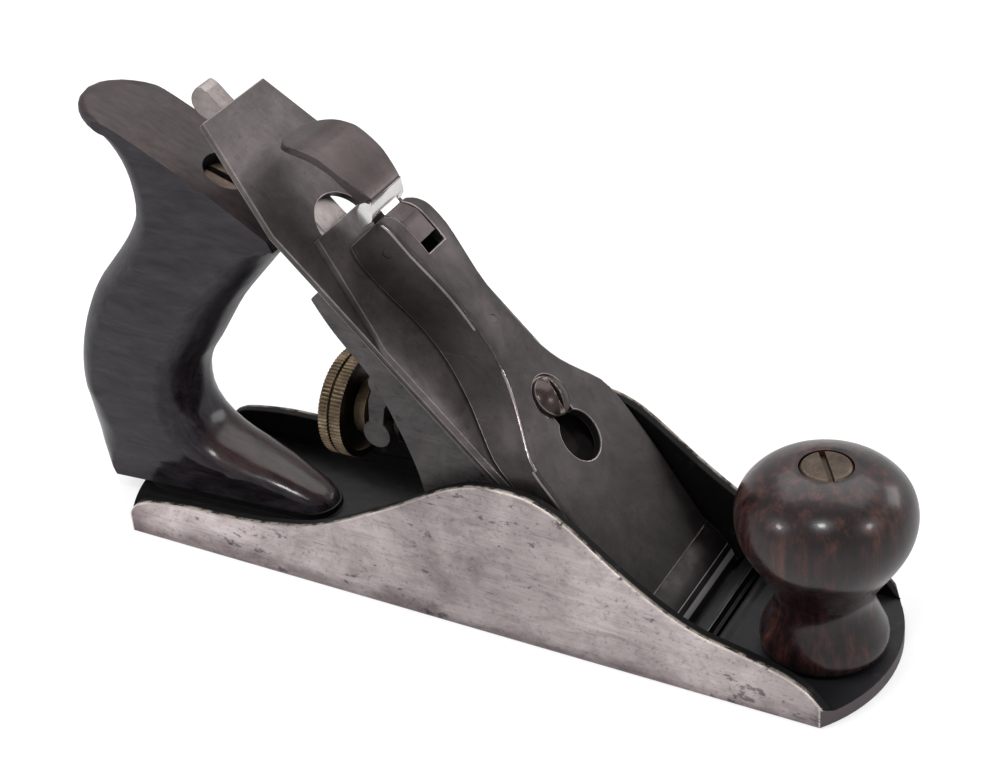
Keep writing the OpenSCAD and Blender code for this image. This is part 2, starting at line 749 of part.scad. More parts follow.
module tote_rod() {
    color("gray")
        on_tote_axis()
            translate([0, 0, -rod_len])
                cylinder(h = rod_len - 1.8, r = rod_r);
}
module tote_nut() {
    color("goldenrod")
        on_tote_axis()
            translate([0, 0, -1.75])
                difference() {
                    union() {
                        slotted_head(6.4, 4.2, 2.2, 1.8);
                        translate([0, 0, -9])
                            cylinder(h = 9.5, r = rod_r + 0.25);
                    }
                    translate([0, 0, -10])
                        cylinder(h = 10.4, r = rod_r + thread_fit);
                }
}

// Front knob
knob_profile = curve([[12.6, bed_t], [15, 5.1], [16.3, 6.6], [16.6, 8.4], [16.2, 10.4], [15.2, 12.6],
    [14, 15.2], [12.9, 18], [12.6, 20.6], [13.4, 23.8], [15.6, 27.8], [18.6, 32.6], [21.3, 37.6], [22.6, 42],
    [22.8, 46], [21.8, 50], [19.6, 53.2], [16.4, 55.9], [12, 58], [7.6, knob_top]], 4);
module knob() {
    color("sienna")
        translate([knob_x, 0, 0])
            difference() {
                rotate_extrude($fn = 96)
                    polygon(concat([[0, bed_t]], knob_profile, [[0, knob_top]]));
                translate([0, 0, -1])
                    cylinder(h = 90, r = rod_r + 0.3);
                // Seat over the casting's boss, and the nut's pocket
                translate([0, 0, bed_t - 1])
                    cylinder(h = 4.2, r = 8.6);
                translate([0, 0, knob_top - 5])
                    cylinder(h = 10, r = 6.9);
            }
}
module knob_rod() {
    color("gray")
        translate([knob_x, 0, 2])
            cylinder(h = knob_top - 8, r = rod_r);
}
module knob_nut() {
    color("goldenrod")
        translate([knob_x, 0, knob_top - 5])
            rotate([0, 0, -57])
                difference() {
                    union() {
                        slotted_head(6.6, 5.2, 1.5, 1.8);
                        translate([0, 0, -9])
                            cylinder(h = 9.5, r = rod_r + 0.25);
                    }
                    translate([0, 0, -10])
                        cylinder(h = 12, r = rod_r + thread_fit);
                }
}

sole_casting();
frog();
frog_screws();
frog_washers();
depth_stud();
depth_collar();
depth_wheel();
yoke_lever();
yoke_pin();
lateral_lever();
lateral_rivet();
lateral_roller();
cutting_iron();
cap_iron();
cap_iron_screw();
lever_cap();
lever_cap_screw();
cam_lever();
cam_pin();
cap_spring();
spring_rivet();
tote();
tote_rod();
tote_nut();
knob();
knob_rod();
knob_nut();
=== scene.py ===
"""Looks of an iron bench smoothing plane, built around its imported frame."""
import json
import math

import bmesh
import bpy
from mathutils import Matrix, Vector


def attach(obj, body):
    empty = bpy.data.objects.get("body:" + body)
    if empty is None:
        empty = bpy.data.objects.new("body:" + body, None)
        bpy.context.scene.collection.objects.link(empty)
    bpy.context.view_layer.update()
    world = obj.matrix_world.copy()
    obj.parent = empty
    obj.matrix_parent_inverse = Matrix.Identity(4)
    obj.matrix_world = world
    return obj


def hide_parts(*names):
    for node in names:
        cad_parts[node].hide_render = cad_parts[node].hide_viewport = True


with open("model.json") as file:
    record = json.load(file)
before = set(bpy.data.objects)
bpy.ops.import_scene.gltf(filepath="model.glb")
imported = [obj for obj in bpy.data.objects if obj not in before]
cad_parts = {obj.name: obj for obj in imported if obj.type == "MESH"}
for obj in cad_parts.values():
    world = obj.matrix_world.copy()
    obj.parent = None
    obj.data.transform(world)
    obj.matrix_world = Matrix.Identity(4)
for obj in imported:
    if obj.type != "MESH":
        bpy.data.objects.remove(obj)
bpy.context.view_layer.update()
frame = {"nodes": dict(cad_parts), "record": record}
MM = 0.001
WHITE = (1, 1, 1)
BLACK = (0, 0, 0)
# Turn of a texture, in degrees, that lays its length along the sloped irons
UP_THE_BED = (0, 45, 0)


# Materials
class Tree:
    """A material with short calls that add and link its shader nodes."""

    def __init__(self, name):
        self.mat = bpy.data.materials.new(name)
        self.mat.use_nodes = True
        self.t = self.mat.node_tree
        self.bsdf = self.t.nodes["Principled BSDF"]
        self.coord = self.t.nodes.new("ShaderNodeTexCoord").outputs["Object"]

    def add(self, kind, **props):
        """A new node of this kind, with these properties set"""
        n = self.t.nodes.new(kind)
        for k, v in props.items():
            setattr(n, k, v)
        return n

    def link(self, a, b):
        self.t.links.new(a, b)

    def mapped(self, scale, turn=(0, 0, 0)):
        """The piece's own coordinates, turned by degrees and scaled"""
        m = self.add("ShaderNodeMapping")
        m.inputs["Scale"].default_value = scale
        m.inputs["Rotation"].default_value = [math.radians(a) for a in turn]
        self.link(self.coord, m.inputs["Vector"])
        return m.outputs["Vector"]

    def noise(self, vec, scale, detail=5, rough=0.55, distort=0.0):
        n = self.add("ShaderNodeTexNoise")
        n.inputs["Scale"].default_value = scale
        n.inputs["Detail"].default_value = detail
        n.inputs["Roughness"].default_value = rough
        n.inputs["Distortion"].default_value = distort
        self.link(vec, n.inputs["Vector"])
        return n.outputs["Fac"]

    def ramp(self, fac, stops):
        """A colour ramp; a stop is a position with a grey level or a colour"""
        r = self.add("ShaderNodeValToRGB")
        e = r.color_ramp.elements
        while len(e) < len(stops):
            e.new(0.5)
        for i, (p, c) in enumerate(stops):
            e[i].position = p
            e[i].color = (*c, 1) if not isinstance(c, (int, float)) else (c, c, c, 1)
        self.link(fac, r.inputs["Fac"])
        return r.outputs["Color"]

    def mix(self, fac, a, b, mode="MIX"):
        """Two colours mixed; each of the three may be a socket or a constant"""
        m = self.add("ShaderNodeMix", data_type="RGBA", blend_type=mode)
        for key, v in (("Factor", fac), ("A", a), ("B", b)):
            sock = [s for s in m.inputs if s.name == key and s.enabled][0]
            if hasattr(v, "links"):
                self.link(v, sock)
            else:
                sock.default_value = v if isinstance(v, (int, float)) else (*v, 1)
        return [s for s in m.outputs if s.enabled][0]

    def spread(self, fac, lo, hi, low_in=0.0, high_in=1.0):
        """The range low_in to high_in stretched to lo to hi, and clamped there"""
        m = self.add("ShaderNodeMapRange")
        m.inputs["From Min"].default_value = low_in
        m.inputs["From Max"].default_value = high_in
        m.inputs["To Min"].default_value = lo
        m.inputs["To Max"].default_value = hi
        self.link(fac, m.inputs["Value"])
        return m.outputs["Result"]

    def axis(self, which):
        """One of the piece's own coordinates, in metres"""
        s = self.add("ShaderNodeSeparateXYZ")
        self.link(self.coord, s.inputs["Vector"])
        return s.outputs[which]

    def bump(self, height, strength, distance, below=None):
        """Fine relief, with its depth in mm, on top of an earlier one"""
        b = self.add("ShaderNodeBump")
        b.inputs["Strength"].default_value = strength
        b.inputs["Distance"].default_value = distance * MM
        self.link(height, b.inputs["Height"])
        if below is not None:
            self.link(below, b.inputs["Normal"])
        return b.outputs["Normal"]

    def finish(self, color, rough, normal=None, metallic=0.0, spec=0.5, coat=0.0, coat_rough=0.1):
        """Connects everything to the surface and gives the material"""
        for key, v in (("Base Color", color), ("Roughness", rough), ("Normal", normal)):
            if v is None:
                continue
            if hasattr(v, "links"):
                self.link(v, self.bsdf.inputs[key])
            elif isinstance(v, (int, float)):
                self.bsdf.inputs[key].default_value = v
            else:
                self.bsdf.inputs[key].default_value = (*v, 1)
        self.bsdf.inputs["Metallic"].default_value = metallic
        self.bsdf.inputs["Specular IOR Level"].default_value = spec
        self.bsdf.inputs["Coat Weight"].default_value = coat
        self.bsdf.inputs["Coat Roughness"].default_value = coat_rough
        return self.mat


def ground_iron(name, dark, light, pit=0.65, rough=(0.36, 0.54), metallic=0.7, along_tone=None):
    """Bare ground cast iron: fine grinding lines, cloudy patina, small dark pits and short scratches"""
    t = Tree(name)
    cloud = t.noise(t.coord, 20, 8, 0.66, 0.8)
    col = t.ramp(cloud, [(0.34, dark), (0.60, light)])
    haze = t.ramp(t.noise(t.mapped((70, 90, 150)), 1.0, 8, 0.72, 1.4),
                  [(0.36, (0.50, 0.48, 0.48)), (0.54, WHITE)])
    col = t.mix(0.5, col, haze, "MULTIPLY")
    if along_tone:
        # Some stretches of the side are brighter than others
        along = t.spread(t.axis("X"), 0.0, 1.0, -0.11, 0.11)
        col = t.mix(1.0, col, t.ramp(along, along_tone), "MULTIPLY")
        # The last millimetres before the heel are dark
        heel = t.ramp(t.spread(t.axis("X"), 0.0, 1.0, -0.108, -0.090),
                      [(0.10, (0.34, 0.30, 0.31)), (0.60, (0.8, 0.79, 0.79)), (1.0, WHITE)])
        col = t.mix(1.0, col, heel, "MULTIPLY")
        # The lowest few millimetres are stained, with a ragged upper border
        low = t.add("ShaderNodeMath", operation="ADD")
        t.link(t.spread(t.axis("Z"), 0.0, 1.0, 0.0, 0.010), low.inputs[0])
        t.link(t.spread(t.noise(t.mapped((40, 60, 90)), 1.0, 7, 0.7), -1.0, 1.0), low.inputs[1])
        foot = t.ramp(low.outputs[0], [(0.05, (0.48, 0.45, 0.46)), (0.60, WHITE)])
        col = t.mix(1.0, col, foot, "MULTIPLY")
    lines = t.noise(t.mapped((45, 900, 1700), (0, 6, 0)), 1.0, 4, 0.6)
    col = t.mix(0.24, col, t.ramp(lines, [(0.36, 0.50), (0.60, 1.0)]), "MULTIPLY")
    scratch = t.ramp(t.noise(t.mapped((80, 700, 900), (0, -24, 0)), 1.0, 2, 0.4),
                     [(0.262, 0.22), (0.305, 1.0)])
    col = t.mix(0.6 * pit, col, scratch, "MULTIPLY")
    # Pits gather in groups: a coarse noise shifts the threshold of a fine one
    small = t.noise(t.mapped((230, 420, 400), (0, 10, 0)), 1.0, 5, 0.70)
    group = t.noise(t.coord, 42, 4, 0.6)
    both = t.add("ShaderNodeMath", operation="MULTIPLY_ADD")
    t.link(group, both.inputs[0])
    both.inputs[1].default_value = 0.55
    t.link(small, both.inputs[2])
    spots = t.ramp(both.outputs[0], [(0.590, 0.10), (0.650, 1.0)])
    col = t.mix(pit, col, spots, "MULTIPLY")
    freckles = t.ramp(t.noise(t.coord, 820, 3, 0.7), [(0.33, 0.30), (0.42, 1.0)])
    col = t.mix(0.7 * pit, col, freckles, "MULTIPLY")
    r = t.spread(t.noise(t.coord, 160, 4), rough[0], rough[1], 0.3, 0.7)
    n = t.bump(lines, 0.10, 0.05)
    n = t.bump(spots, 0.35, 0.12, n)
    return t.finish(col, r, n, metallic, 0.4)


def browned_steel(name, dark, light, rough=(0.34, 0.5), metallic=0.7, streak=0.3, pit=0.35, mottle=0.5,
                  dark_reflection=0.0, dark_reflection_top=0.026, dark_reflection_depth=0.20, reflection_span=None, nose_highlight=None):
    """Tool steel with a brown patina: streaks along its length, cloudy stains, scratches and fine pitting"""
    t = Tree(name)
    cloud = t.noise(t.coord, 30, 8, 0.66, 0.9)
    col = t.ramp(cloud, [(0.32, dark), (0.66, light)])
    stain = t.ramp(t.noise(t.coord, 85, 8, 0.72, 1.2), [(0.36, (0.44, 0.40, 0.39)), (0.56, WHITE)])
    col = t.mix(mottle, col, stain, "MULTIPLY")
    streaks = t.noise(t.mapped((14, 600, 600), UP_THE_BED), 1.0, 4, 0.6)
    col = t.mix(streak, col, t.ramp(streaks, [(0.3, 0.55), (0.7, 1.0)]), "MULTIPLY")
    scratch = t.ramp(t.noise(t.mapped((60, 1300, 1300), UP_THE_BED), 1.0, 2, 0.4),
                     [(0.69, 1.0), (0.74, 2.4)])
    col = t.mix(0.5 * mottle, col, scratch, "MULTIPLY")
    pits = t.ramp(t.noise(t.coord, 460, 5, 0.74), [(0.34, 0.25), (0.41, 1.0)])
    col = t.mix(pit, col, pits, "MULTIPLY")
    if dark_reflection:
        # Painted dark reflection: the steel is darker low down, above the mouth, with a ragged border
        ragged = t.add("ShaderNodeMath", operation="ADD")
        t.link(t.spread(t.axis("Z"), 0.0, 1.0, 0.006, dark_reflection_top), ragged.inputs[0])
        t.link(t.spread(t.noise(t.coord, 60, 6, 0.6), -0.5, 0.5), ragged.inputs[1])
        reflection_ramp = t.ramp(ragged.outputs[0], [(0.42, dark_reflection_depth), (1.0, 1.0)])
        col = t.mix(dark_reflection, col, reflection_ramp, "MULTIPLY")
    if nose_highlight:
        # Painted highlight: a bright band across the leading edge before the mouth, and a thin bright line
        # above it
        highlight_band = t.ramp(t.spread(t.axis("Z"), 0.0, 1.0, 0.0, 0.010),
                      [(0.605, BLACK), (0.620, nose_highlight), (0.775, nose_highlight), (0.790, BLACK),
                       (0.925, BLACK), (0.932, nose_highlight), (0.942, nose_highlight), (0.950, BLACK)])
        col = t.mix(1.0, col, highlight_band, "ADD")
    if reflection_span:
        # Painted reflection: the top of the iron is brighter, and below it the flat steel is darker where it
        # mirrors the thumb lever's dark underside
        upper_reflection = t.ramp(t.spread(t.axis("Z"), 0.0, 1.0, *reflection_span), [(0.0, 0.66), (1.0, 1.0)])
        col = t.mix(1.0, col, upper_reflection, "MULTIPLY")
    r = t.spread(t.noise(t.coord, 90, 5, 0.6), rough[0], rough[1], 0.3, 0.7)
    n = t.bump(streaks, 0.10, 0.04)
    n = t.bump(t.noise(t.coord, 900, 3), 0.08, 0.05, n)
    return t.finish(col, r, n, metallic, 0.4)


def black_lacquer(name, rough=(0.30, 0.50), spec=0.26, dark=(0.004, 0.004, 0.0045),
                  worn=(0.026, 0.020, 0.016), bare_edge=False):
    """Baked black lacquer over rough cast iron, with brown flecks where it has worn"""
    t = Tree(name)
    col = t.ramp(t.noise(t.coord, 150, 6, 0.7, 0.5), [(0.60, dark), (0.72, worn)])
    if bare_edge:
        # The outer millimetre of the walls' tops is worn to the iron
        side = t.add("ShaderNodeMath", operation="ABSOLUTE")
        t.link(t.axis("Y"), side.inputs[0])
        bare = t.ramp(t.noise(t.coord, 260, 6, 0.7),
                      [(0.42, (0.020, 0.016, 0.014)), (0.56, (0.34, 0.295, 0.26))])
        col = t.mix(t.spread(side.outputs[0], 0.0, 1.0, 0.0256, 0.0264), col, bare)
    lumps = t.noise(t.coord, 260, 4, 0.55)
    r = t.spread(t.noise(t.coord, 120, 4), rough[0], rough[1], 0.3, 0.7)
    n = t.bump(lumps, 0.30, 0.25)
    return t.finish(col, r, n, 0.0, spec)


def old_brass(name, dark, light):
    """Brass with brown tarnish in cloudy patches and fine turning marks"""
    t = Tree(name)
    col = t.ramp(t.noise(t.coord, 210, 6, 0.65, 0.6), [(0.3, dark), (0.7, light)])
    fine = t.noise(t.coord, 1500, 3, 0.6)
    col = t.mix(0.35, col, t.ramp(fine, [(0.3, 0.4), (0.55, 1.0)]), "MULTIPLY")
    r = t.spread(t.noise(t.coord, 260, 4), 0.34, 0.52, 0.3, 0.7)
    return t.finish(col, r, t.bump(fine, 0.12, 0.06), 0.85, 0.4)


def tote_wood():
    """Nearly black rosewood: lighter brown in patches on faces turned upwards, as painted top light and wear,
    fine pores along the grain
    """
    t = Tree("tote_black_wood")
    grain = t.noise(t.mapped((16, 170, 60), (0, 24, 0)), 3.2, 8, 0.62, 0.5)
    col = t.ramp(grain, [(0.32, (0.0040, 0.0032, 0.0042)), (0.55, (0.0250, 0.0205, 0.0265)),
                         (0.74, (0.044, 0.034, 0.038))])
    pores = t.noise(t.mapped((90, 1400, 420), (0, 24, 0)), 1.0, 3, 0.6)
    col = t.mix(0.55, col, t.ramp(pores, [(0.34, 0.25), (0.44, 1.0)]), "MULTIPLY")
    # Painted top light and worn brown wood: faces turned upwards, the top face and the foot, are lighter
    # brown in patches
    normal = t.add("ShaderNodeSeparateXYZ")
    t.link(t.add("ShaderNodeNewGeometry").outputs["Normal"], normal.inputs["Vector"])
    facing_up = t.spread(normal.outputs["Z"], 0.0, 1.0, 0.55, 0.92)
    patch = t.ramp(t.noise(t.mapped((30, 60, 120), (0, 24, 0)), 1.0, 5, 0.6),
                   [(0.30, 0.35), (0.62, 1.0)])
    brown = t.ramp(t.noise(t.mapped((40, 500, 500), (0, 27, 0)), 1.0, 5, 0.62),
                   [(0.34, (0.021, 0.0115, 0.0110)), (0.66, (0.056, 0.032, 0.029))])
    col = t.mix(facing_up, col, t.mix(patch, col, brown))
    # The foot is the glossiest place, the top the dullest
    r = t.add("ShaderNodeMath", operation="ADD")
    t.link(t.spread(t.noise(t.coord, 70, 5, 0.6), -0.06, 0.06, 0.3, 0.7), r.inputs[0])
    t.link(t.spread(t.axis("Z"), 0.20, 0.44, 0.030, 0.060), r.inputs[1])
    n = t.bump(pores, 0.14, 0.08)
    n = t.bump(t.noise(t.coord, 130, 4), 0.12, 0.25, n)
    return t.finish(col, r.outputs[0], n, 0.0, 0.31, 0.06, 0.12)


def knob_wood():
    """Turned rosewood: dark with red-brown streaks along the grain"""
    t = Tree("knob_red_wood")
    grain = t.noise(t.mapped((150, 150, 5), (3, 5, 0)), 2.0, 7, 0.62, 0.12)
    col = t.ramp(grain, [(0.32, (0.0055, 0.0030, 0.0036)), (0.48, (0.0160, 0.0070, 0.0074)),
                         (0.60, (0.044, 0.0170, 0.0140)), (0.78, (0.105, 0.038, 0.024))])
    pores = t.noise(t.mapped((1100, 1100, 50), (3, 5, 0)), 1.0, 4, 0.6)
    col = t.mix(0.5, col, t.ramp(pores, [(0.36, 0.3), (0.48, 1.0)]), "MULTIPLY")
    r = t.spread(t.noise(t.coord, 60, 5, 0.6), 0.22, 0.36, 0.3, 0.7)
    n = t.bump(pores, 0.10, 0.05)
    return t.finish(col, r, n, 0.0, 0.40, 0.20, 0.10)


# Brightness of the ground sides along their length, from heel to toe
SIDE_TONE = [(0.0, 1.05), (0.12, 1.25), (0.26, 1.20), (0.42, 0.72), (0.62, 0.72), (0.80, 0.90), (0.95, 0.72)]
M_GROUND = ground_iron("ground_cast_iron", (0.46, 0.396, 0.393), (0.84, 0.735, 0.728), along_tone=SIDE_TONE)
M_GROUND_EDGE = ground_iron("ground_cast_iron_edge", (0.42, 0.37, 0.35), (0.92, 0.83, 0.77), 0.9)
M_RIB = ground_iron("worn_rib_iron", (0.13, 0.120, 0.126), (0.30, 0.278, 0.288), 0.5)
M_WALLTOP = black_lacquer("dull_wall_top", (0.5, 0.65), 0.12, bare_edge=True)
M_TOE = black_lacquer("worn_toe_face", (0.5, 0.65), 0.3, (0.120, 0.100, 0.108), (0.22, 0.185, 0.20))
M_TOE_FLOOR = black_lacquer("worn_toe_floor", (0.42, 0.60), 0.3, (0.011, 0.0102, 0.0122),
                            (0.032, 0.027, 0.025))
M_JAPAN = black_lacquer("black_lacquer")
# The cutting iron is painted darker below its top, a painted reflection
M_BLADE = browned_steel("browned_iron_steel", (0.088, 0.076, 0.076), (0.165, 0.143, 0.142), mottle=0.35,
                        reflection_span=(0.100, 0.122))
M_BLADE_EDGE = browned_steel("worn_iron_edge", (0.17, 0.15, 0.147), (0.36, 0.32, 0.31), (0.25, 0.4), pit=0.3)
# The cap iron and the lever cap are painted darker low down, a painted dark reflection
M_CAPIRON = browned_steel("browned_cap_iron_steel", (0.084, 0.072, 0.072), (0.186, 0.162, 0.158), dark_reflection=0.9,
                          dark_reflection_depth=0.07, nose_highlight=(0.44, 0.415, 0.435))
M_CAPIRON_EDGE = browned_steel("worn_cap_iron_edge", (0.14, 0.122, 0.12), (0.30, 0.265, 0.26),
                               (0.25, 0.4), pit=0.3)
M_LEVERCAP = browned_steel("worn_lever_cap_iron", (0.044, 0.0365, 0.0370), (0.079, 0.0665, 0.0670),
                           (0.30, 0.46), streak=0.2, mottle=0.42, dark_reflection=0.66, dark_reflection_top=0.036)
M_LEVERCAP_EDGE = browned_steel("worn_lever_cap_edge", (0.20, 0.174, 0.170), (0.44, 0.390, 0.380),
                                (0.22, 0.36), streak=0.2)
# Painted shade: the keyhole's wall is nearly black
M_KEYHOLE = browned_steel("shaded_keyhole_wall", (0.010, 0.009, 0.009), (0.022, 0.019, 0.019), (0.4, 0.6),
                          metallic=0.3)
M_CAM = browned_steel("browned_cam_lever", (0.056, 0.045, 0.044), (0.100, 0.080, 0.078), (0.22, 0.36),
                      streak=0.1, mottle=0.3)
M_SCREW = browned_steel("brown_screw_steel", (0.036, 0.027, 0.026), (0.095, 0.070, 0.066), (0.18, 0.32),
                        streak=0.1)
M_SCREW_EDGE = browned_steel("brown_screw_edge", (0.16, 0.13, 0.124), (0.34, 0.28, 0.265), (0.2, 0.34),
                             streak=0.1)
M_LATERAL = browned_steel("lateral_lever_steel", (0.24, 0.212, 0.206), (0.46, 0.412, 0.400), (0.3, 0.45))
M_FROG = ground_iron("frog_cast_iron", (0.060, 0.055, 0.055), (0.125, 0.112, 0.112), 0.5, (0.36, 0.5), 0.6)
M_BRASS = old_brass("aged_brass", (0.085, 0.062, 0.042), (0.26, 0.195, 0.125))
M_BRASS_DARK = old_brass("dark_brass", (0.012, 0.010, 0.009), (0.040, 0.031, 0.024))
M_BRASS_EDGE = old_brass("worn_brass_edge", (0.16, 0.115, 0.065), (0.34, 0.25, 0.14))
M_NUT = old_brass("old_brass_nut", (0.060, 0.044, 0.033), (0.125, 0.094, 0.073))
M_NUT_EDGE = old_brass("old_brass_nut_edge", (0.085, 0.064, 0.048), (0.17, 0.13, 0.10))
M_TOTE = tote_wood()
M_KNOB = knob_wood()
# Polished steel for the knuckle, whose near-white colour paints the glare on it
M_KNUCKLE_GLARE = browned_steel("glare_polished_knuckle", (0.70, 0.68, 0.66), (0.90, 0.88, 0.86), (0.10, 0.18), pit=0.05,
                           streak=0.1, metallic=0.9, mottle=0.1)


# Dressing the solids
def clean_mesh(node, merge):
    """The solid's triangles joined to larger flat faces, without slivers"""
    bm = bmesh.new()
    bm.from_mesh(frame["nodes"][node].data)
    bmesh.ops.remove_doubles(bm, verts=bm.verts, dist=merge)
    bmesh.ops.dissolve_degenerate(bm, dist=5e-6, edges=bm.edges)
    bmesh.ops.dissolve_limit(bm, angle_limit=math.radians(0.8), verts=bm.verts, edges=bm.edges)
    return bm


def finish_piece(bm, name, mats, node, body, sharp):
    """The visible piece: smooth shading between sharp edges, and its place in the frame"""
    for f in bm.faces:
        f.smooth = True
    for e in bm.edges:
        if len(e.link_faces) == 2:
            e.smooth = e.calc_face_angle(0.0) < math.radians(sharp)
    me = bpy.data.meshes.new(name)
    bm.to_mesh(me)
    bm.free()
    ob = bpy.data.objects.new(name, me)
    bpy.context.scene.collection.objects.link(ob)
    for m in mats:
        me.materials.append(m)
    wn = ob.modifiers.new("weighted", "WEIGHTED_NORMAL")
    wn.keep_sharp = True
    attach(ob, body)
    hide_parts(node)
    return ob


def dress(node, mats, width=0.0, segs=2, limit=40, paint=None, edge_mat=-1, sharp=38, skip=None, rim=None,
          merge=3e-6):
    """A node's own shape with eased edges of this width in mm; bevels may take a worn material"""
    bm = clean_mesh(node, merge)
    if paint:
        for f in bm.faces:
            f.material_index = paint(f.calc_center_median() / MM, f.normal)
    edges = [e for e in bm.edges if len(e.link_faces) == 2 and e.calc_face_angle(0.0) > math.radians(limit)]
    if skip:
        edges = [e for e in edges if not skip((e.verts[0].co + e.verts[1].co) / 2 / MM)]
    if width and edges:
        eased = bmesh.ops.bevel(bm, geom=edges, offset=width * MM, offset_type="OFFSET", segments=segs,
                                profile=0.5, affect="EDGES", clamp_overlap=False, material=edge_mat,
                                loop_slide=True)
        if rim:
            for f in eased["faces"]:
                f.material_index = rim(f.calc_center_median() / MM, f.material_index)
    rec = frame["record"]
    body = [b for b, ns in rec["behaviour"]["bodies"].items() if node in ns][0]
    return finish_piece(bm, node + "_dressed", mats, node, body, sharp)


# Where worn or dirty places begin, in mm of the shared frame
HALF_W = 27.1
WALL_INSIDE = 23.6
RIB_END = 23.8
BED_TOP = 4.3
TOE_TOP = 6
TOE_START = 90
TOE_FLOOR_START = 72
WORN_RIB = (66.3, 68.2)
WHEEL_AXIS_Z = 44
WHEEL_DISH_R = 11
WHEEL_DISH_BACK = -40
FLANGE_FRONT = -33
# The same along the bed and above it
BED_FOOT = 61.9
KEYHOLE_SPAN = (54, 79)
KEYHOLE_HALF = 7.4
KEYHOLE_FLOOR = 4
KNUCKLE_SPAN = (136.7, 141.0)
KNUCKLE_HEIGHTS = (14.0, 18.6)
CAM_PIN_AT = (128.5, 12.6)
SPRING_RIVET_AT = 98
K45 = math.sqrt(0.5)

# The sole casting's materials, in the order of its list
GROUND, GROUND_RIM, LACQUER, RIB, WALL_TOP, TOE_FACE, TOE_FLOOR = range(7)
# The third material, after the main one and the one of the edges, and the second where edges have none
SPECIAL = 2
SECOND = 1


def on_bed(c):
    """Distance up the bed and height above it, in mm"""
    return (BED_FOOT - c.x + c.z) * K45, (c.x + c.z - BED_FOOT) * K45


def on_worn_rib(c):
    """On top of the rib beyond the mouth"""
    return WORN_RIB[0] < c.x < WORN_RIB[1] and c.z > BED_TOP and abs(c.y) < RIB_END


def paint_sole(c, n):
    """Ground sides and sole, lacquer on everything else, worn in places"""
    side = abs(c.y) > HALF_W - 0.05 and abs(n.y) > 0.8
    if side or (c.z < 0.05 and n.z < -0.8):
        return GROUND
    if abs(c.y) > WALL_INSIDE and n.z > 0.15 and c.z > BED_TOP:
        return WALL_TOP
    if c.x > TOE_START and n.x > 0.3 and abs(n.z) < 0.5 and c.z < TOE_TOP:
        return TOE_FACE
    if c.x > TOE_FLOOR_START and n.z > 0.9:
        return TOE_FLOOR
    return RIB if on_worn_rib(c) and n.z > 0.7 else LACQUER


def rim_sole(c, index):
    """Bright outer rims of the walls, and a worn line on the rib beyond the mouth"""
    if abs(c.y) > HALF_W - 0.6 and c.z > 0.8:
        return GROUND_RIM
    return RIB if on_worn_rib(c) else index


def paint_lever_cap(c, n):
    """The keyhole's wall is painted dark, as the shade inside the hole"""
    s, h = on_bed(c)
    wall = abs(n.x + n.z) * K45 < 0.5
    at_hole = KEYHOLE_SPAN[0] < s < KEYHOLE_SPAN[1] and abs(c.y) < KEYHOLE_HALF and h > KEYHOLE_FLOOR
    return SPECIAL if at_hole and wall else 0


def paint_cam(c, n):
    """The knuckle block, in front of the thumb leaf, is polished steel in a near-white colour, a painted
    glare
    """
    s, h = on_bed(c)
    in_block = KNUCKLE_SPAN[0] < s < KNUCKLE_SPAN[1] and KNUCKLE_HEIGHTS[0] < h < KNUCKLE_HEIGHTS[1]
    return SPECIAL if in_block else 0


def paint_wheel(c, n):
    """The dished front face and the hub are dark"""
    r = math.hypot(c.y, c.z - WHEEL_AXIS_Z)
    return SPECIAL if n.x > 0.7 and r < WHEEL_DISH_R and c.x > WHEEL_DISH_BACK else 0


def paint_collar(c, n):
    """The groove and the front flange are dark, and the flange by the wheel still shows its brass"""
    return SECOND if c.x > FLANGE_FRONT else 0


def rivet_holes(c):
    """The cam's pin and the spring's rivet are ground flush, so their holes show no eased edge"""
    s, h = on_bed(c)
    at_pin = math.hypot(s - CAM_PIN_AT[0], h - CAM_PIN_AT[1]) < 2
    return at_pin or (abs(s - SPRING_RIVET_AT) < 2 and abs(c.y) < 2)


dress("sole_casting", [M_GROUND, M_GROUND_EDGE, M_JAPAN, M_RIB, M_WALLTOP, M_TOE, M_TOE_FLOOR], 0.4, limit=30,
      paint=paint_sole, rim=rim_sole)
dress("frog", [M_FROG], 0.4, limit=30)
dress("frog_screws", [M_SCREW, M_SCREW_EDGE], 0.15, 1, edge_mat=1)
dress("frog_washers", [M_LATERAL], 0.12, 1)
dress("depth_stud", [M_SCREW], 0.3)
dress("depth_collar", [M_BRASS, M_BRASS_DARK], 0.2, paint=paint_collar)
dress("depth_wheel", [M_BRASS, M_BRASS_EDGE, M_BRASS_DARK], paint=paint_wheel)
dress("yoke_lever", [M_FROG], 0.35, limit=35)
dress("yoke_pin", [M_SCREW], 0.2)
dress("lateral_lever", [M_LATERAL], 0.4, 3, 35)
dress("lateral_rivet", [M_LATERAL], 0.08, 1)
dress("lateral_roller", [M_LATERAL], 0.2)
dress("cutting_iron", [M_BLADE, M_BLADE_EDGE], 0.3, limit=30, edge_mat=1)
dress("cap_iron", [M_CAPIRON, M_CAPIRON_EDGE], 0.22, limit=30, edge_mat=1)
dress("cap_iron_screw", [M_SCREW, M_SCREW_EDGE], 0.2, edge_mat=1)
dress("lever_cap", [M_LEVERCAP, M_LEVERCAP_EDGE, M_KEYHOLE], 0.35, limit=34, paint=paint_lever_cap,
      edge_mat=1, skip=rivet_holes)
dress("lever_cap_screw", [M_SCREW, M_SCREW_EDGE], 0.25, limit=35, edge_mat=1)
